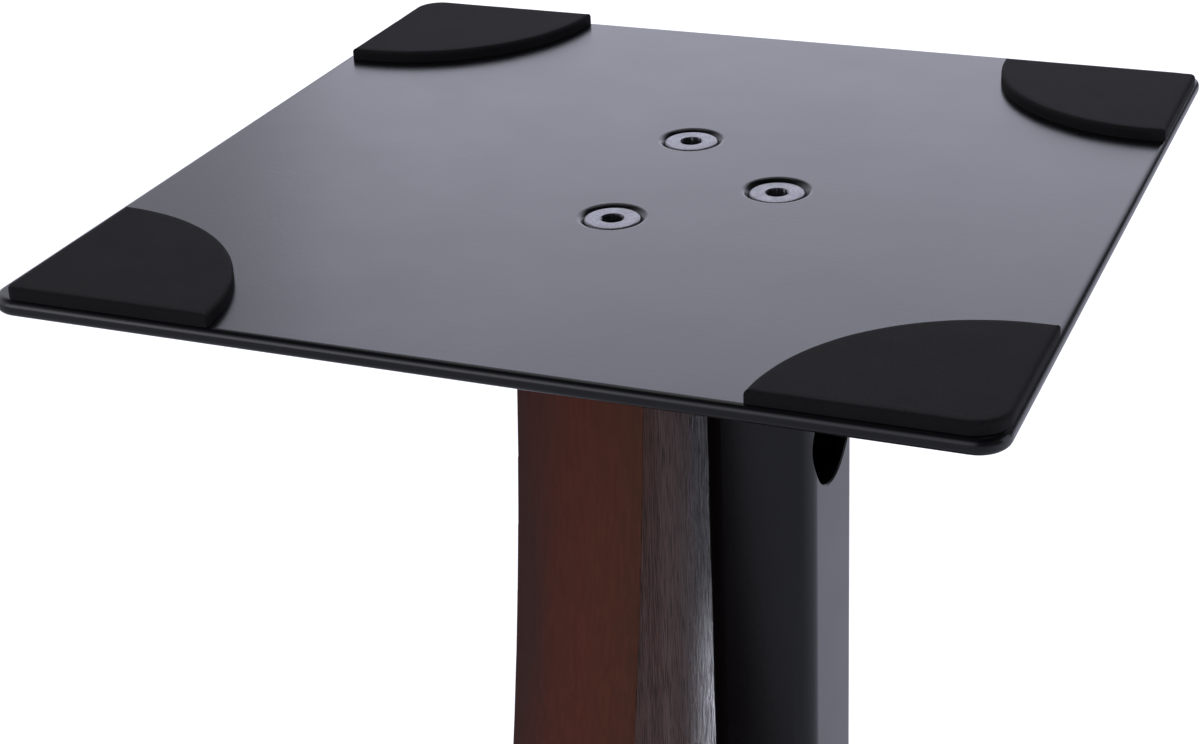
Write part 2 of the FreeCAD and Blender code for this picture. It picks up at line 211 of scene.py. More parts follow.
def make_world():
    world = bpy.data.worlds.new("white_room")
    bpy.context.scene.world = world
    world.use_nodes = True
    tree = world.node_tree
    tree.nodes.clear()
    direction = tree.nodes.new("ShaderNodeTexCoord").outputs["Generated"]
    part = add_node(tree, "ShaderNodeSeparateXYZ", {0: direction}).outputs
    ceiling = stretch(tree, part["Z"], CEILING_STARTS, CEILING_FULL, 1.0, CEILING_DARK,
                      easing="SMOOTHSTEP")
    flag = stretch(tree, part["X"], FLAG_STARTS, FLAG_FULL, 1.0, FLAG_DARK, easing="SMOOTHSTEP")
    bounced = backdrop(tree, SKY, ROOM_GREY)
    mirrored = backdrop(tree, ROOM_MIRRORED, calc(tree, "MULTIPLY", ceiling, flag))
    white = backdrop(tree, WHITE, 1.0)
    glossy = shown_rays(tree, "Is Glossy Ray", "Is Transmission Ray")
    room = blend_shaders(tree, glossy, bounced, mirrored)
    room = blend_shaders(tree, shown_rays(tree, "Is Camera Ray"), room, white)
    add_node(tree, "ShaderNodeOutputWorld", {"Surface": room})
    return world


bpy.context.scene.view_settings.view_transform = "Standard"
print("world:", make_world().name)

# %% [markdown]
# ## Floor
# The floor is pale and matt. For the camera it also glows a little, so that all it shows is the
# stand's own soft shadow. For glossy rays it glows towards the back, where the lamp behind the
# stand would light it, and that is what the lower parts of the stand mirror.

# %% Floor
FLOOR_SIZE = 12.0
FLOOR_ALBEDO = (0.72, 0.72, 0.72)
FLOOR_LIFT = 0.75
FLOOR_GLOW = 0.22
GLOW_STARTS, GLOW_FULL = -0.2, 0.9


def make_floor():
    bpy.ops.mesh.primitive_plane_add(size=FLOOR_SIZE)
    floor = bpy.context.object
    floor.name = "floor"
    material = bpy.data.materials.new("pale_floor")
    material.use_nodes = True
    tree = material.node_tree
    tree.nodes.clear()
    place = tree.nodes.new("ShaderNodeTexCoord").outputs["Object"]
    part = add_node(tree, "ShaderNodeSeparateXYZ", {0: place}).outputs
    behind = stretch(tree, part["Y"], GLOW_STARTS, GLOW_FULL, 0.0, FLOOR_GLOW,
                     easing="SMOOTHSTEP")
    seen = calc(tree, "MULTIPLY", shown_rays(tree, "Is Camera Ray"), FLOOR_LIFT)
    mirrored = calc(tree, "MULTIPLY", shown_rays(tree, "Is Glossy Ray"), behind)
    total = add_node(tree, "ShaderNodeBsdfDiffuse", {"Color": FLOOR_ALBEDO}).outputs[0]
    for colour, strength in ((WHITE, seen), (ROOM_MIRRORED, mirrored)):
        lift = add_node(tree, "ShaderNodeEmission", {"Color": colour, "Strength": strength})
        total = add_node(tree, "ShaderNodeAddShader", {0: total, 1: lift.outputs[0]}).outputs[0]
    add_node(tree, "ShaderNodeOutputMaterial", {"Surface": total})
    floor.data.materials.append(material)
    return floor


print(make_floor().name, FLOOR_SIZE, "m across")

# %% [markdown]
# ## Helpers for procedural finishes
# Every finish below is a Principled shader with its colour, roughness and bump worked out from
# 3-D noise. The noise is read in object coordinates, which are metres here, so a grain that is
# half a millimetre wide on the real piece is simply half a millimetre wide in the pattern. Noise
# lies between 0 and 1 but mostly near the middle. Over the wide span below it makes a gentle
# change, and over the narrow one a crisper change that reaches both ends now and then.

# %% Finish helpers
WIDE = (0.30, 0.70)
NARROW = (0.35, 0.65)
MIX_AMOUNT, MIX_FIRST, MIX_SECOND, MIX_RESULT = 0, 6, 7, 2
BLACK = (0.0, 0.0, 0.0)


class Finish:
    """A material under construction, with short ways to add and join its nodes."""

    def __init__(self, name, **constants):
        self.material = bpy.data.materials.new(name)
        self.material.use_nodes = True
        self.tree = self.material.node_tree
        self.tree.nodes.clear()
        self.shader = self.add("ShaderNodeBsdfPrincipled")
        for key, value in constants.items():
            self.set(key.replace("_", " "), value)
        self.add("ShaderNodeOutputMaterial", {"Surface": self.shader.outputs[0]})
        self.place = self.add("ShaderNodeTexCoord").outputs["Object"]

    def add(self, kind, inputs=None, **settings):
        return add_node(self.tree, kind, inputs, **settings)

    def set(self, name, value):
        feed(self.tree, self.shader.inputs[name], value)

    def calc(self, operation, first, second=0.0):
        return calc(self.tree, operation, first, second)

    def between(self, value, low, high, out_low=0.0, out_high=1.0):
        return stretch(self.tree, value, low, high, out_low, out_high)

    def axes(self, vector=None):
        """The x, y and z of a place, each as a value."""
        part = self.add("ShaderNodeSeparateXYZ", {0: vector or self.place}).outputs
        return part["X"], part["Y"], part["Z"]

    def along_grain(self, share):
        """The object's coordinates with Z shrunk, so that a pattern is drawn out along Z."""
        node = self.add("ShaderNodeMapping", {"Vector": self.place})
        node.inputs["Scale"].default_value = (1.0, 1.0, share)
        return node.outputs[0]

    def noise(self, scale, detail=2.0, roughness=0.5, distortion=0.0, vector=None):
        inputs = {"Vector": vector or self.place, "Scale": scale, "Detail": detail,
                  "Roughness": roughness, "Distortion": distortion}
        return self.add("ShaderNodeTexNoise", inputs).outputs["Fac"]

    def around(self, pattern, middle, spread):
        """A value that follows a pattern, from middle - spread to middle + spread."""
        return self.between(pattern, *WIDE, middle - spread, middle + spread)

    def ramp(self, value, *stops):
        """Colours along a value; each stop is (position, (r, g, b))."""
        node = self.add("ShaderNodeValToRGB", {0: value})
        elements = node.color_ramp.elements
        while len(elements) < len(stops):
            elements.new(0.5)
        for element, (position, colour) in zip(elements, stops):
            element.position = position
            element.color = (*colour, 1.0)
        return node.outputs[0]

    def two_tone(self, pattern, span, dark, light):
        return self.ramp(pattern, (span[0], dark), (span[1], light))

    def mix(self, amount, first, second):
        """Blend two colours; amount, first and second may be sockets or constants."""
        inputs = {MIX_AMOUNT: amount, MIX_FIRST: first, MIX_SECOND: second}
        return self.add("ShaderNodeMix", inputs, data_type="RGBA").outputs[MIX_RESULT]

    def bump(self, height, distance, strength=1.0):
        inputs = {"Height": height, "Distance": distance, "Strength": strength}
        return self.add("ShaderNodeBump", inputs).outputs[0]


def dress(name, material):
    """Give a piece of the frame its finish."""
    piece = nodes[name]
    piece.data.materials.clear()
    piece.data.materials.append(material)


# %% [markdown]
# ## Satin black powder coat
# The plates and the column are steel under a black powder coat. Powder melts into a skin that is
# smooth but faintly uneven, like orange peel, about a millimetre from crest to crest. The colour
# itself is nearly black: the grey that one sees is the room, mirrored in a satin gloss.

# %% Satin black paint
PAINT_DARK, PAINT_LIGHT = (0.0022, 0.0022, 0.0026), (0.0034, 0.0034, 0.0040)
PAINT_CLOUDS_PER_METRE = 9.0
PAINT_ROUGHNESS, PAINT_UNEVENNESS = 0.24, 0.02
PAINT_PATCHES_PER_METRE = 40.0
PEEL_PER_METRE = 700.0
PEEL_HEIGHT = 0.000012


def satin_paint(name):
    paint = Finish(name, Metallic=0.0, IOR=1.5)
    cloud = paint.noise(PAINT_CLOUDS_PER_METRE, detail=3.0)
    paint.set("Base Color", paint.two_tone(cloud, WIDE, PAINT_DARK, PAINT_LIGHT))
    patch = paint.noise(PAINT_PATCHES_PER_METRE, detail=4.0)
    paint.set("Roughness", paint.around(patch, PAINT_ROUGHNESS, PAINT_UNEVENNESS))
    peel = paint.noise(PEEL_PER_METRE, detail=1.0)
    paint.set("Normal", paint.bump(peel, PEEL_HEIGHT))
    return paint.material


plate_paint = satin_paint("satin_black_plate")
column_paint = satin_paint("satin_black_column")
dress("top_plate", plate_paint)
dress("base_plate", plate_paint)
dress("steel_column", column_paint)
print("painted:", plate_paint.name, "and", column_paint.name)

# %% [markdown]
# ## Red-brown walnut
# The board is walnut under a thin satin lacquer, with its grain running down its length. The
# year rings lie flat in the board, so the sawn side edge shows them as upright bands from
# purple-brown through red to brown, and that is a colour that follows x. A noise that is drawn
# out along Z makes the bands sway, and gives the broad faces a faint figure of their own.

# %% Walnut's year rings
FACE_STARTS, FACE_FULL = 0.70, 0.95
HALF_THICKNESS = 0.016
RINGS_FROM, RINGS_TO = -0.25, 0.75
RING_COLOURS = (
    (0.06, (0.068, 0.0250, 0.0190)),
    (0.30, (0.114, 0.0290, 0.0158)),
    (0.55, (0.138, 0.0310, 0.0145)),
    (0.80, (0.125, 0.0340, 0.0142)),
    (0.98, (0.108, 0.0340, 0.0148)),
)
BANDS_PER_METRE = 62.0
BAND_DRAW, BAND_DISTORTION, BAND_SWAY = 0.045, 0.25, 0.5
FIGURE_COLOUR, FIGURE_STRENGTH = (0.118, 0.036, 0.016), 0.5

walnut = Finish("walnut", Specular_IOR_Level=0.2)
facing = walnut.add("ShaderNodeNewGeometry").outputs["True Normal"]
facing_x, _, _ = walnut.axes(facing)
broad = walnut.between(walnut.calc("ABSOLUTE", facing_x), FACE_STARTS, FACE_FULL)
place_x, place_y, _ = walnut.axes()

band = walnut.noise(BANDS_PER_METRE, distortion=BAND_DISTORTION,
                    vector=walnut.along_grain(BAND_DRAW))
depth_in = walnut.between(place_x, -HALF_THICKNESS, HALF_THICKNESS, RINGS_FROM, RINGS_TO)
ring = walnut.calc("ADD", depth_in, walnut.calc("MULTIPLY", band, BAND_SWAY))
colour = walnut.ramp(ring, *RING_COLOURS)
figure = walnut.calc("MULTIPLY", broad, walnut.between(band, *NARROW))
figure = walnut.between(figure, 0.0, 1.0, 0.0, FIGURE_STRENGTH)
colour = walnut.mix(figure, colour, FIGURE_COLOUR)
print("walnut's rings:", len(RING_COLOURS), "colours")

# %% [markdown]
# ## Fibres and pores
# Over the bands lie fibres about a millimetre wide, and on the broad faces the open pores: dark
# dashes a fifth of a millimetre wide and a few millimetres long. Both are noise as well, only
# finer and drawn out more. The broad faces also get painted shade: as a whole, their colour is
# darkened to half of the sawn edge's.

# %% Walnut's fibres and pores
FIBRES_PER_METRE = 900.0
FIBRE_DRAW = 0.012
FIBRE_COLOUR, FIBRE_STRENGTH = (0.058, 0.020, 0.013), 0.35
PORES_PER_METRE = 2300.0
PORE_DRAW = 0.05
PORE_STARTS, PORE_FULL = 0.54, 0.64
PORE_COLOUR, PORE_STRENGTH = (0.014, 0.008, 0.007), 0.8
# Painted shade: the broad faces keep this share of their colour.
PAINTED_FACE_SHADE = 0.50

fibre = walnut.noise(FIBRES_PER_METRE, detail=3.0, roughness=0.6,
                     vector=walnut.along_grain(FIBRE_DRAW))
colour = walnut.mix(walnut.between(fibre, *NARROW, 0.0, FIBRE_STRENGTH), colour, FIBRE_COLOUR)
pore = walnut.noise(PORES_PER_METRE, detail=1.0, vector=walnut.along_grain(PORE_DRAW))
pore = walnut.calc("MULTIPLY", walnut.between(pore, PORE_STARTS, PORE_FULL), broad)
colour = walnut.mix(walnut.calc("MULTIPLY", pore, PORE_STRENGTH), colour, PORE_COLOUR)
# Painted shade: the broad faces' colour is darkened towards black.
painted_face_shade = walnut.between(broad, 0.0, 1.0, 0.0, 1.0 - PAINTED_FACE_SHADE)
walnut.set("Base Color", walnut.mix(painted_face_shade, colour, BLACK))
print("walnut's colour:", len(walnut.tree.nodes), "nodes so far")

# %% [markdown]
# ## Lacquer
# The lacquer sinks into the pores, so the broad faces catch the light in fine upright grooves,
# while the sawn edge is nearly smooth. The board's back is polished best in its middle, close
# behind the column, and gets duller towards its sides.

# %% Walnut's lacquer
GROOVES_PER_METRE = 1500.0
GROOVE_DRAW = 0.05
FACE_GROOVE, EDGE_GROOVE = 0.00026, 0.000015
PORE_SINK = 0.6
POLISH_STARTS, POLISH_FULL = 0.041, 0.016
WEAR_CURVE = 1.8
SMOOTHEST, ROUGHEST = 0.22, 0.88
EDGE_ROUGHNESS = 0.55
FIBRE_UNEVENNESS = 0.06
PORE_ROUGHNESS = 0.3

groove = walnut.noise(GROOVES_PER_METRE, roughness=0.55, vector=walnut.along_grain(GROOVE_DRAW))
groove = walnut.calc("SUBTRACT", groove, walnut.calc("MULTIPLY", pore, PORE_SINK))
depth = walnut.between(broad, 0.0, 1.0, EDGE_GROOVE / FACE_GROOVE, 1.0)
walnut.set("Normal", walnut.bump(groove, FACE_GROOVE, strength=depth))

polish = walnut.between(walnut.calc("ABSOLUTE", place_y), POLISH_STARTS, POLISH_FULL)
polish = walnut.calc("MULTIPLY", polish, broad)
worn = walnut.calc("POWER", walnut.calc("SUBTRACT", 1.0, polish), WEAR_CURVE)
face_roughness = walnut.between(worn, 0.0, 1.0, SMOOTHEST, ROUGHEST)
rough = walnut.between(broad, 0.0, 1.0, EDGE_ROUGHNESS, face_roughness)
rough = walnut.calc("ADD", rough, walnut.around(fibre, 0.0, FIBRE_UNEVENNESS))
rough = walnut.calc("ADD", rough, walnut.calc("MULTIPLY", pore, PORE_ROUGHNESS))
walnut.set("Roughness", rough)
dress("wood_board", walnut.material)
print("walnut:", len(walnut.tree.nodes), "nodes")

# %% [markdown]
# ## A light for the grain
# In the picture the board's back shows its grain in a cool streak of light that comes in low
# from behind, and grows towards the column and towards the bottom. A small lamp that lights only
# the board, and only its gloss, does that with Blender's light linking: one collection says
# which pieces it lights, and another which pieces shade it.

# %% Grain light
GRAIN_LIGHT_PLACE = (0.21, 0.52, 0.03)
GRAIN_LIGHT_TARGET = (0.016, -0.02, 0.46)
GRAIN_LIGHT_TINT = (0.88, 0.87, 1.0)


def linked_light(lamp, lit, shading):
    for use, names in (("receiver_collection", lit), ("blocker_collection", shading)):
        group = bpy.data.collections.new(lamp.name + "_" + use.split("_")[0])
        for name in names:
            group.objects.link(nodes[name])
        setattr(lamp.light_linking, use, group)


grain_light = softbox("grain_light", GRAIN_LIGHT_PLACE, GRAIN_LIGHT_TARGET,
                      width=0.30, height=0.18, brightness=12.5, tint=GRAIN_LIGHT_TINT)
grain_light.visible_diffuse = False
linked_light(grain_light, ("wood_board",), ("top_plate", "base_plate"))
print("grain light at", tuple(round(v, 2) for v in grain_light.location))

# %% [markdown]
# ## Metals
# The screws, spikes, nuts and floor discs are turned or pressed steel. Turning leaves fine rings
# round the axis. Rings need the distance from the piece's own axis, and the four feet share one
# finish, because their places differ only in sign: the absolute value of x and y folds all four
# corners onto one. Pressed and tumbled heads have a fine speckle instead.

# %% Metal finishes
SPECKLE_PER_METRE, SPECKLE_HEIGHT = 3600.0, 0.000008
METAL_CLOUDS_PER_METRE, SPECKLED_UNEVENNESS = 350.0, 0.05
TURNED_RINGS_PER_METRE, TURNED_RING_HEIGHT = 2600.0, 0.000012
TURNED_UNEVENNESS = 0.06


def speckled_metal(name, dark, light, roughness):
    metal = Finish(name, Metallic=1.0)
    speckle = metal.noise(SPECKLE_PER_METRE, roughness=0.7)
    metal.set("Base Color", metal.two_tone(speckle, NARROW, dark, light))
    cloud = metal.noise(METAL_CLOUDS_PER_METRE, detail=3.0)
    metal.set("Roughness", metal.around(cloud, roughness, SPECKLED_UNEVENNESS))
    metal.set("Normal", metal.bump(speckle, SPECKLE_HEIGHT))
    return metal.material


def turned_metal(name, dark, light, roughness, axis):
    """Rings round an upright axis, at plus or minus this x and y."""
    metal = Finish(name, Metallic=1.0)
    x, y, z = metal.axes()
    off_x = metal.calc("SUBTRACT", metal.calc("ABSOLUTE", x), axis[0])
    off_y = metal.calc("SUBTRACT", metal.calc("ABSOLUTE", y), axis[1])
    square_x, square_y = metal.calc("MULTIPLY", off_x, off_x), metal.calc("MULTIPLY", off_y, off_y)
    radius = metal.calc("SQRT", metal.calc("ADD", square_x, square_y))
    along = metal.add("ShaderNodeCombineXYZ", {"X": radius, "Z": z}).outputs[0]
    rings = metal.noise(TURNED_RINGS_PER_METRE, detail=3.0, roughness=0.7, vector=along)
    metal.set("Base Color", metal.two_tone(rings, WIDE, dark, light))
    metal.set("Roughness", metal.around(rings, roughness, TURNED_UNEVENNESS))
    metal.set("Normal", metal.bump(rings, TURNED_RING_HEIGHT))
    return metal.material


def upright_axis(low, high):
    """The x and y of the middle of a box."""
    return (low.x + high.x) / 2, (low.y + high.y) / 2


foot_axis = upright_axis(*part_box("spike_rear_left"))
screw_steel = speckled_metal("tumbled_screw_steel", (0.085, 0.085, 0.094),
                             (0.275, 0.272, 0.286), 0.33)
spike_steel = turned_metal("turned_spike_steel", (0.20, 0.20, 0.21), (0.32, 0.32, 0.335),
                           0.27, foot_axis)
disc_steel = turned_metal("turned_disc_steel", (0.045, 0.045, 0.05), (0.075, 0.075, 0.08),
                          0.3, foot_axis)
nut_steel = speckled_metal("blackened_nut_steel", (0.035, 0.035, 0.038),
                           (0.06, 0.06, 0.064), 0.4)
block_steel = speckled_metal("milled_block_steel", (0.38, 0.38, 0.39), (0.52, 0.52, 0.53), 0.35)
insert_brass = speckled_metal("turned_insert_brass", (0.55, 0.42, 0.20),
                              (0.72, 0.58, 0.30), 0.3)
for name in ("board_top_inserts", "board_base_inserts"):
    dress(name, insert_brass)
for name in ("column_top_block", "column_base_block"):
    dress(name, block_steel)
for corner in CORNERS:
    dress("lock_nut_" + corner, nut_steel)
    dress("floor_disc_" + corner, disc_steel)
print("feet at plus and minus", [round(v, 4) for v in foot_axis])

# %% [markdown]
# ## Foam pads and felt discs
# The four corner pads are quarter rounds cut by hand from a sheet of dense foam rubber, and each
# floor disc stands on a disc of felt. Both are thin slabs with soft upper edges. A good way to
# make one is to take the outline of the frame's solid, divide it into evenly spaced points, and
# stack rings of points: up the wall, round the edge, and inwards over the top. A little noise in
# the height and in the outline keeps the top from being a perfect plane and the cut from being
# a perfect arc, as no knife leaves one.

# %% Outlines
POINT_SPACING = 0.0009
SAME_HEIGHT = 1e-6
TINY = 1e-9


def outline_of(name):
    """The corner points of a slab's upper outline, in order round its middle."""
    mesh = nodes[name].data
    top = max(v.co.z for v in mesh.vertices)
    flat = {(round(v.co.x, 6), round(v.co.y, 6))
            for v in mesh.vertices if abs(v.co.z - top) < SAME_HEIGHT}
    points = np.array(sorted(flat))
    middle = points.mean(axis=0)
    turn = np.arctan2(points[:, 1] - middle[1], points[:, 0] - middle[0])
    return points[np.argsort(turn)]


def evenly_spaced(points, spacing):
    """Points a fixed distance apart along a closed outline, keeping its own corners."""
    result = []
    for start, end in zip(points, np.roll(points, -1, axis=0)):
        steps = max(1, round(float(np.linalg.norm(end - start)) / spacing))
        result += [start + (end - start) * i / steps for i in range(steps)]
    return np.array(result)


def drawn_in(points, distance):
    """The outline moved inwards by a distance that is small beside its roundings."""
    before, after = np.roll(points, 1, axis=0), np.roll(points, -1, axis=0)
    along = after - before
    along /= np.maximum(np.linalg.norm(along, axis=1, keepdims=True), TINY)
    inward = np.stack([-along[:, 1], along[:, 0]], axis=1)
    return points + inward * distance


pad_outline = outline_of("corner_pad_rear_right")
print("pad outline:", len(pad_outline), "corners,",
      len(evenly_spaced(pad_outline, POINT_SPACING)), "even points")

# %% [markdown]
# ## Rings to meshes
# A stack of closed rings with the same number of points in each is all that a slab, a screw or
# a spike needs: every ring is joined to the next by quads, and a fan of triangles closes each
# end. The smooth shading breaks only where two faces meet at more than a given angle.

# %% Mesh helpers
MERGE_DISTANCE = 1e-7


def stacked_rings(rings):
    """Vertices and faces of closed rings joined one to the next, with both ends capped."""
    count = len(rings[0])
    vertices = [point for ring in rings for point in ring]
    faces = []
    for level in range(len(rings) - 1):
        low, high = level * count, (level + 1) * count
        for i in range(count):
            j = (i + 1) % count
            faces.append((low + i, low + j, high + j, high + i))
    for level in (0, len(rings) - 1):
        first, centre = level * count, len(vertices)
        vertices.append(np.mean(rings[level], axis=0))
        faces += [(first + i, first + (i + 1) % count, centre) for i in range(count)]
    return vertices, faces


def mesh_piece(name, vertices, faces, material, sharp_degrees):
    mesh = bpy.data.meshes.new(name)
    mesh.from_pydata([tuple(v) for v in vertices], [], faces)
    mesh.validate()
    work = bmesh.new()
    work.from_mesh(mesh)
    bmesh.ops.remove_doubles(work, verts=work.verts, dist=MERGE_DISTANCE)
    bmesh.ops.recalc_face_normals(work, faces=work.faces)
    work.to_mesh(mesh)
    work.free()
    for polygon in mesh.polygons:
        polygon.use_smooth = True
    mesh.set_sharp_from_angle(angle=math.radians(sharp_degrees))
    mesh.materials.append(material)
    piece = bpy.data.objects.new(name, mesh)
    bpy.context.scene.collection.objects.link(piece)
    return piece


# %% [markdown]
# ## A soft slab
# The wall's rings keep the outline. The edge's rings follow a quarter circle, and the top's
# rings shrink towards the middle, closer together near the rim. Each slab has a seed of its own,
# so that no two wander alike. The noise only takes material away: a slab never leaves the space
# that its solid holds.

# %% Soft slabs
WALL_RINGS, EDGE_RINGS, TOP_RINGS = 5, 5, 22
TOP_CROWDING = 0.9
CUT_WANDER, CUT_WAVES_PER_METRE = 0.00018, 160.0
TOP_WANDER, TOP_WAVES_PER_METRE = 0.00010, 70.0
TOP_SEED_STEP = 9.0
SOFT_SHARP_DEGREES = 40.0


def wander(place, scale, seed):
    """Smooth noise from about 0 to 1."""
    x, y, z = place
    return 0.5 + 0.5 * noise.noise(Vector((x * scale, y * scale, z * scale + seed)))


def slab_ring(flat, middle, z, top_share, seed):
    """A ring of a slab: its cut wanders inwards, and its top dips by as much as it is top."""
    points = []
    for x, y in flat:
        cut = CUT_WANDER * wander((x, y, z), CUT_WAVES_PER_METRE, seed)
        inward = np.array([middle[0] - x, middle[1] - y])
        inward /= max(float(np.linalg.norm(inward)), TINY)
        dip = wander((x, y, 0.0), TOP_WAVES_PER_METRE, seed + TOP_SEED_STEP)
        points.append((x + inward[0] * cut, y + inward[1] * cut, z - TOP_WANDER * top_share * dip))
    return points


def soft_slab(node, material, body, easing, seed):
    """A slab with soft upper edges in the space of the frame's solid, which it replaces."""
    low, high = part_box(node)
    outline = evenly_spaced(outline_of(node), POINT_SPACING)
    middle = outline.mean(axis=0)
    wall = high.z - low.z - easing
    rings = [slab_ring(outline, middle, low.z + wall * i / (WALL_RINGS - 1), 0.0, seed)
             for i in range(WALL_RINGS)]
    for i in range(1, EDGE_RINGS + 1):
        angle = math.pi / 2 * i / EDGE_RINGS
        flat = drawn_in(outline, easing * (1 - math.cos(angle)))
        z = high.z - easing * (1 - math.sin(angle))
        rings.append(slab_ring(flat, middle, z, i / EDGE_RINGS, seed))
    rim = drawn_in(outline, easing)
    for i in range(1, TOP_RINGS):
        share = 1.0 - (i / TOP_RINGS) ** TOP_CROWDING
        rings.append(slab_ring(middle + (rim - middle) * share, middle, high.z, 1.0, seed))
    piece = mesh_piece("soft_" + node, *stacked_rings(rings), material, SOFT_SHARP_DEGREES)
    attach(piece, body)
    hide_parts(node)
    return piece


# %% [markdown]
# ## Foam and felt
# Foam rubber is matt charcoal, with cells a few tenths of a millimetre across that read as a
# fine grain, and it hardly shines except at a low angle. Felt is matted fibre: darker, softer
# and lit along its edge, which is what the shader's sheen is for.

# %% Pads and felts
FOAM_DARK, FOAM_LIGHT = (0.0080, 0.0068, 0.0066), (0.0185, 0.0162, 0.0158)
FOAM_WORN, FOAM_WEAR = (0.0085, 0.0073, 0.0071), 0.35
FOAM_CELLS_PER_METRE, FOAM_CELL_HEIGHT = 2600.0, 0.00006
FOAM_CLOUDS_PER_METRE = 120.0
FOAM_SMOOTHEST, FOAM_ROUGHEST = 0.66, 0.8
FELT_DARK, FELT_LIGHT = (0.010, 0.010, 0.011), (0.024, 0.024, 0.026)
FELT_FIBRES_PER_METRE, FELT_FIBRE_HEIGHT = 3200.0, 0.0001
FOAM_EASING, FELT_EASING = 0.0010, 0.0004
PAD_SEED_STEP, FELT_SEED_STEP = 3.7, 5.1

foam = Finish("foam_rubber", Specular_IOR_Level=0.11)
cells = foam.noise(FOAM_CELLS_PER_METRE, detail=3.0, roughness=0.65)
cloud = foam.noise(FOAM_CLOUDS_PER_METRE, detail=3.0)
grain = foam.two_tone(cells, WIDE, FOAM_DARK, FOAM_LIGHT)
wear = foam.between(cloud, *NARROW, 0.0, FOAM_WEAR)
foam.set("Base Color", foam.mix(wear, grain, FOAM_WORN))
foam.set("Roughness", foam.between(cells, *WIDE, FOAM_SMOOTHEST, FOAM_ROUGHEST))
foam.set("Normal", foam.bump(cells, FOAM_CELL_HEIGHT))

felt = Finish("black_felt", Roughness=0.95, Sheen_Weight=0.3, Sheen_Roughness=0.5)
fibres = felt.noise(FELT_FIBRES_PER_METRE, detail=4.0, roughness=0.7, distortion=1.5)
felt.set("Base Color", felt.two_tone(fibres, NARROW, FELT_DARK, FELT_LIGHT))
felt.set("Normal", felt.bump(fibres, FELT_FIBRE_HEIGHT))

for order, corner in enumerate(CORNERS):
    pad = soft_slab("corner_pad_" + corner, foam.material, "stand",
                    FOAM_EASING, order * PAD_SEED_STEP)
    soft_slab("felt_disc_" + corner, felt.material, "foot_" + corner,
              FELT_EASING, order * FELT_SEED_STEP)
    print(pad.name, len(pad.data.vertices), "points")

# %% [markdown]
# ## Turning on the lathe
# A screw or a spike is a round bar with a profile, with a hexagon here and there. Each is made
# as a stack of rings about one axis. A ring is a radius and a height for every step round the
# circle: constant for a turned face, and the radius of a hexagon for a socket or a collar. For a
# thread the radius goes up and down along the bar, a little later at every step of the turn, so
# that the crest climbs by one pitch in a full turn.

# %% Lathe
STEPS = 72
ANGLES = np.arange(STEPS) * 2 * math.pi / STEPS
ROUND = np.ones(STEPS)
ROWS_PER_PITCH = 8
TOOTH_HEIGHT, TOOTH_SLOPE = 1.25, 3.0
FADE_AT_TOP = 0.25


def hexagon(flats, turned=0.0):
    """The radius of a hexagon at every step, from its width across flats."""
    sixth = math.pi / 3
    return flats / 2 / np.cos((ANGLES + turned) % sixth - sixth / 2)


def lathe(profile, centre, upside_down_about=None):
    """Rings from (radius, height) pairs, each a number or an array of one value a step."""
    rings = []
    for radius, height in profile:
        radius, height = ROUND * radius, ROUND * height
        if upside_down_about is not None:
            height = 2 * upside_down_about - height
        x, y = centre[0] + radius * np.cos(ANGLES), centre[1] + radius * np.sin(ANGLES)
        rings.append(list(zip(x, y, height)))
    return stacked_rings(rings)


def thread(low, high, major, minor, pitch):
    """Rings of a right-hand thread between two heights, fading out at both ends."""
    rows = []
    count = int((high - low) / pitch * ROWS_PER_PITCH)
    for i in range(count + 1):
        z = low + (high - low) * i / count
        turn = (z / pitch - ANGLES / (2 * math.pi)) % 1.0
        tooth = np.clip(TOOTH_HEIGHT - np.abs(turn - 0.5) * TOOTH_SLOPE, 0.0, 1.0)
        fade = min(1.0, (z - low) / pitch, (high - z) / pitch + FADE_AT_TOP)
        rows.append((minor + (major - minor) * tooth * max(fade, 0.0), z))
    return rows


def join_meshes(*parts):
    vertices, faces = [], []
    for points, polygons in parts:
        shift = len(vertices)
        vertices += list(points)
        faces += [tuple(i + shift for i in polygon) for polygon in polygons]
    return vertices, faces


print("lathe:", STEPS, "steps a turn")

# %% [markdown]
# ## Flat-head screws
# The stand is held together by flat-head screws with hexagon sockets. The head's face is flat
# and tumbled smooth, its rim is rounded, and the socket has a small lead-in and a drilled floor.
# Looking down on the head, the rounded rim mirrors the dark flag instead of the bright room and
# shows as a black line, so the rounding is worth modelling.

# %% Screw sizes
MILLIMETRE = 0.001
SCREW_HEAD = 6.7 * MILLIMETRE
HEAD_LAND = 0.75 * MILLIMETRE
RIM_EASING, RIM_DROP, RIM_RINGS = 0.60 * MILLIMETRE, 0.45 * MILLIMETRE, 6
FACE_RING_SHARE = 0.66
SCREW_SHANK, SCREW_ROOT = 3.95 * MILLIMETRE, 3.25 * MILLIMETRE
SCREW_PITCH = 1.25 * MILLIMETRE
NECK_LENGTH = 1.5 * MILLIMETRE
TIP_CHAMFER, THREAD_FROM_TIP = 0.6 * MILLIMETRE, 0.7 * MILLIMETRE
SOCKET_FLATS, SOCKET_DEPTH = 5.0 * MILLIMETRE, 3.0 * MILLIMETRE
DRILL_POINT, DRILL_SHARE = 0.2 * MILLIMETRE, 0.42
DRILL_RISE, SOCKET_RISE = 0.5 * MILLIMETRE, 0.6 * MILLIMETRE
LEAD_SHARE = 1.12
LEAD_DEPTH, LEAD_BREAK = 0.3 * MILLIMETRE, 0.08 * MILLIMETRE
SCREW_SHARP_DEGREES = 32.0
print("screw heads", round(2 * SCREW_HEAD / MILLIMETRE, 2), "mm wide")

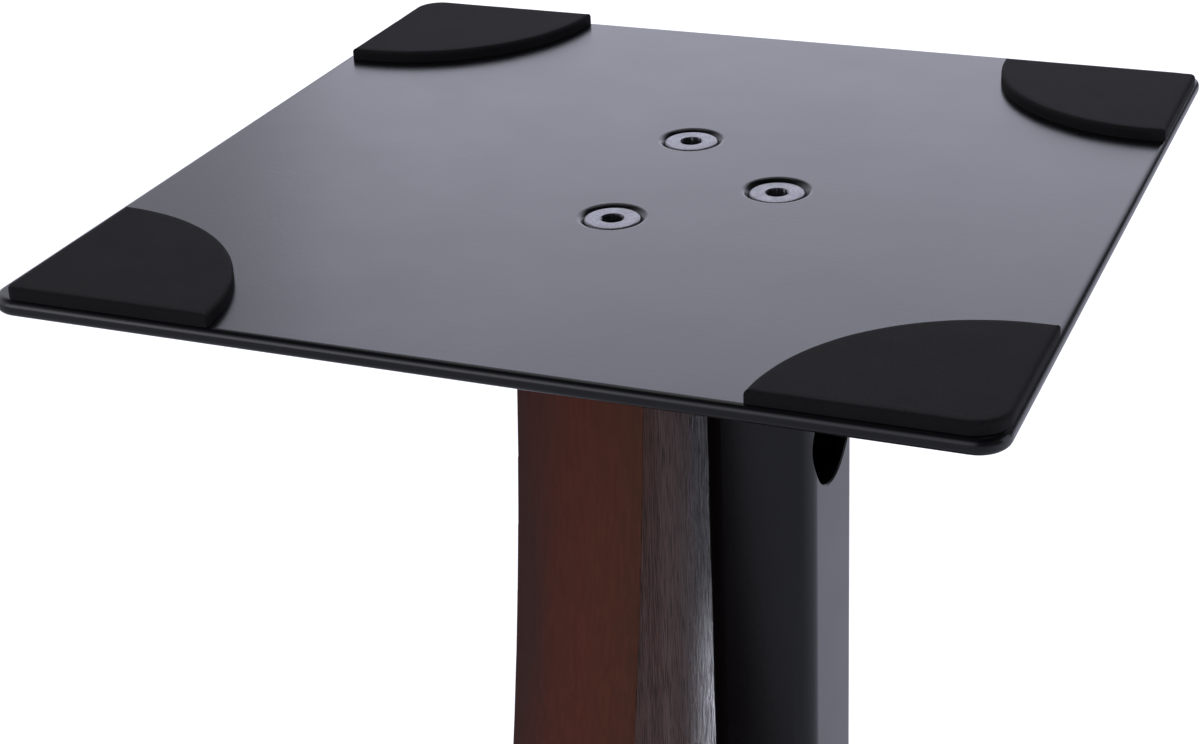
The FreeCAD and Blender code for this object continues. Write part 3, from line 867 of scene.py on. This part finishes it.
# %% Screws
def screw_profile(top, tip, socket_turn):
    """The rings of a screw that points down, from its socket's floor to its tip."""
    floor = top - SOCKET_DEPTH
    hexagonal = hexagon(SOCKET_FLATS, socket_turn)
    lead = np.maximum(hexagonal, SOCKET_FLATS / 2 * LEAD_SHARE)
    rows = [
        (DRILL_POINT, floor),
        (SOCKET_FLATS * DRILL_SHARE, floor + DRILL_RISE),
        (hexagonal, floor + SOCKET_RISE),
        (hexagonal, top - LEAD_DEPTH),
        (lead, top - LEAD_BREAK),
        (lead + LEAD_BREAK, top),
        (SCREW_HEAD * FACE_RING_SHARE, top),
        (SCREW_HEAD - RIM_EASING, top),
    ]
    for i in range(1, RIM_RINGS + 1):
        angle = math.pi / 2 * i / RIM_RINGS
        radius = SCREW_HEAD - RIM_EASING * (1 - math.sin(angle))
        rows.append((radius, top - RIM_DROP * (1 - math.cos(angle))))
    neck = top - HEAD_LAND - (SCREW_HEAD - SCREW_SHANK)
    shoulder = neck - NECK_LENGTH
    rows += [(SCREW_HEAD, top - HEAD_LAND), (SCREW_SHANK, neck), (SCREW_ROOT, shoulder)]
    rows += thread(tip + THREAD_FROM_TIP, shoulder, SCREW_SHANK, SCREW_ROOT, SCREW_PITCH)[::-1]
    rows += [(SCREW_ROOT, tip + TIP_CHAMFER), (SCREW_ROOT - TIP_CHAMFER, tip)]
    return rows


def screws(node, turns, from_below=False):
    """All the screws of one node, in one piece that replaces it."""
    low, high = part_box(node)
    x, y = upright_axis(low, high)
    places = [(x, y)]
    if len(turns) == 2:
        places = [(x, low.y + SCREW_HEAD), (x, high.y - SCREW_HEAD)]
    flip = (low.z + high.z) / 2 if from_below else None
    parts = [lathe(screw_profile(high.z, low.z, turn), place, flip)
             for turn, place in zip(turns, places)]
    piece = mesh_piece("turned_" + node, *join_meshes(*parts), screw_steel, SCREW_SHARP_DEGREES)
    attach(piece, "stand")
    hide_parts(node)
    print(piece.name, "at", [tuple(round(v, 4) for v in place) for place in places])


screws("top_board_screws", (0.30, 0.06))
screws("top_column_screw", (0.02,))
screws("base_board_screws", (0.5, 0.9), from_below=True)
screws("base_column_screw", (0.2,), from_below=True)

# %% [markdown]
# ## Levelling spikes
# Each spike has a cone to stand on, a hexagonal collar for the wrench, and a threaded shank that
# runs up through the base plate and its lock nut, with a hexagon key's socket in its top. The
# thread is real geometry: the spike turns in it when the stand is levelled, and it shows between
# the collar and the plate.

# %% Spike sizes
POINT_RADIUS, POINT_RISE = 0.15 * MILLIMETRE, 0.05 * MILLIMETRE
TIP_RADIUS, TIP_SHARE, TIP_RISE = 0.6 * MILLIMETRE, 0.7, 0.3 * MILLIMETRE
CONE_RADIUS, CONE_HEIGHT = 5.0 * MILLIMETRE, 8.4 * MILLIMETRE
CONE_STEPS = (0.5, 0.96)
COLLAR_FLATS, COLLAR_HEIGHT = 14.0 * MILLIMETRE, 6.0 * MILLIMETRE
COLLAR_CHAMFER = math.radians(30)
CHAMFER_STEPS = (0.0, 0.25, 0.5, 0.75, 1.0)
SPIKE_SHANK, SPIKE_ROOT = 3.95 * MILLIMETRE, 3.3 * MILLIMETRE
UNDERCUT_REACH, UNDERCUT_RISE = 0.6 * MILLIMETRE, 0.4 * MILLIMETRE
THREAD_FROM_COLLAR, THREAD_FROM_TOP = 0.5 * MILLIMETRE, 0.3 * MILLIMETRE
TOP_BREAK = 0.1 * MILLIMETRE
KEY_FLATS, KEY_DEPTH = 4.0 * MILLIMETRE, 3.4 * MILLIMETRE
KEY_LEAD_SHARE, KEY_LEAD_DEPTH = 1.1, 0.2 * MILLIMETRE
KEY_DRILL_RADIUS, KEY_DRILL_DEPTH = 0.3 * MILLIMETRE, 0.4 * MILLIMETRE
SPIKE_SHARP_DEGREES = 30.0
print("spike collars", round(COLLAR_FLATS / MILLIMETRE, 1), "mm across flats")

# %% Spikes
def collar_rows(bottom, top):
    """A hexagonal collar whose six corners are turned off at both ends."""
    six = hexagon(COLLAR_FLATS)
    corner = COLLAR_FLATS / math.sqrt(3)
    ease = corner - COLLAR_FLATS / 2
    rise = ease * math.tan(COLLAR_CHAMFER)
    turned = [(np.minimum(six, corner - ease * (1 - t)), rise * t) for t in CHAMFER_STEPS]
    rows = [(radius, bottom + climb) for radius, climb in turned]
    return rows + [(radius, top - climb) for radius, climb in turned[::-1]]


def spike_profile(tip, top):
    """The rings of a spike, from the point it stands on to the key's socket in its top."""
    collar = tip + CONE_HEIGHT
    collar_top = collar + COLLAR_HEIGHT
    key = hexagon(KEY_FLATS)
    key_lead = np.maximum(key, KEY_FLATS / 2 * KEY_LEAD_SHARE)
    rows = [(POINT_RADIUS, tip), (TIP_RADIUS * TIP_SHARE, tip + POINT_RISE)]
    rows += [(TIP_RADIUS, tip + TIP_RISE)]
    rows += [(TIP_RADIUS + (CONE_RADIUS - TIP_RADIUS) * t,
              tip + TIP_RISE + (CONE_HEIGHT - TIP_RISE) * t) for t in CONE_STEPS]
    rows += [(CONE_RADIUS, collar)]
    rows += collar_rows(collar, collar_top)
    rows += [(SPIKE_SHANK + UNDERCUT_REACH, collar_top), (SPIKE_ROOT, collar_top + UNDERCUT_RISE)]
    rows += thread(collar_top + THREAD_FROM_COLLAR, top - THREAD_FROM_TOP,
                   SPIKE_SHANK, SPIKE_ROOT, SCREW_PITCH)
    rows += [(SPIKE_ROOT - TOP_BREAK, top), (key_lead, top), (key, top - KEY_LEAD_DEPTH)]
    rows += [(key, top - KEY_DEPTH), (KEY_DRILL_RADIUS, top - KEY_DEPTH - KEY_DRILL_DEPTH)]
    return rows


for corner in CORNERS:
    low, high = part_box("spike_" + corner)
    turned = lathe(spike_profile(low.z, high.z), upright_axis(low, high))
    spike = mesh_piece("turned_spike_" + corner, *turned, spike_steel, SPIKE_SHARP_DEGREES)
    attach(spike, "spike_" + corner)
    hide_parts("spike_" + corner)
print("spikes:", len(CORNERS), "with", len(spike.data.vertices), "points each")
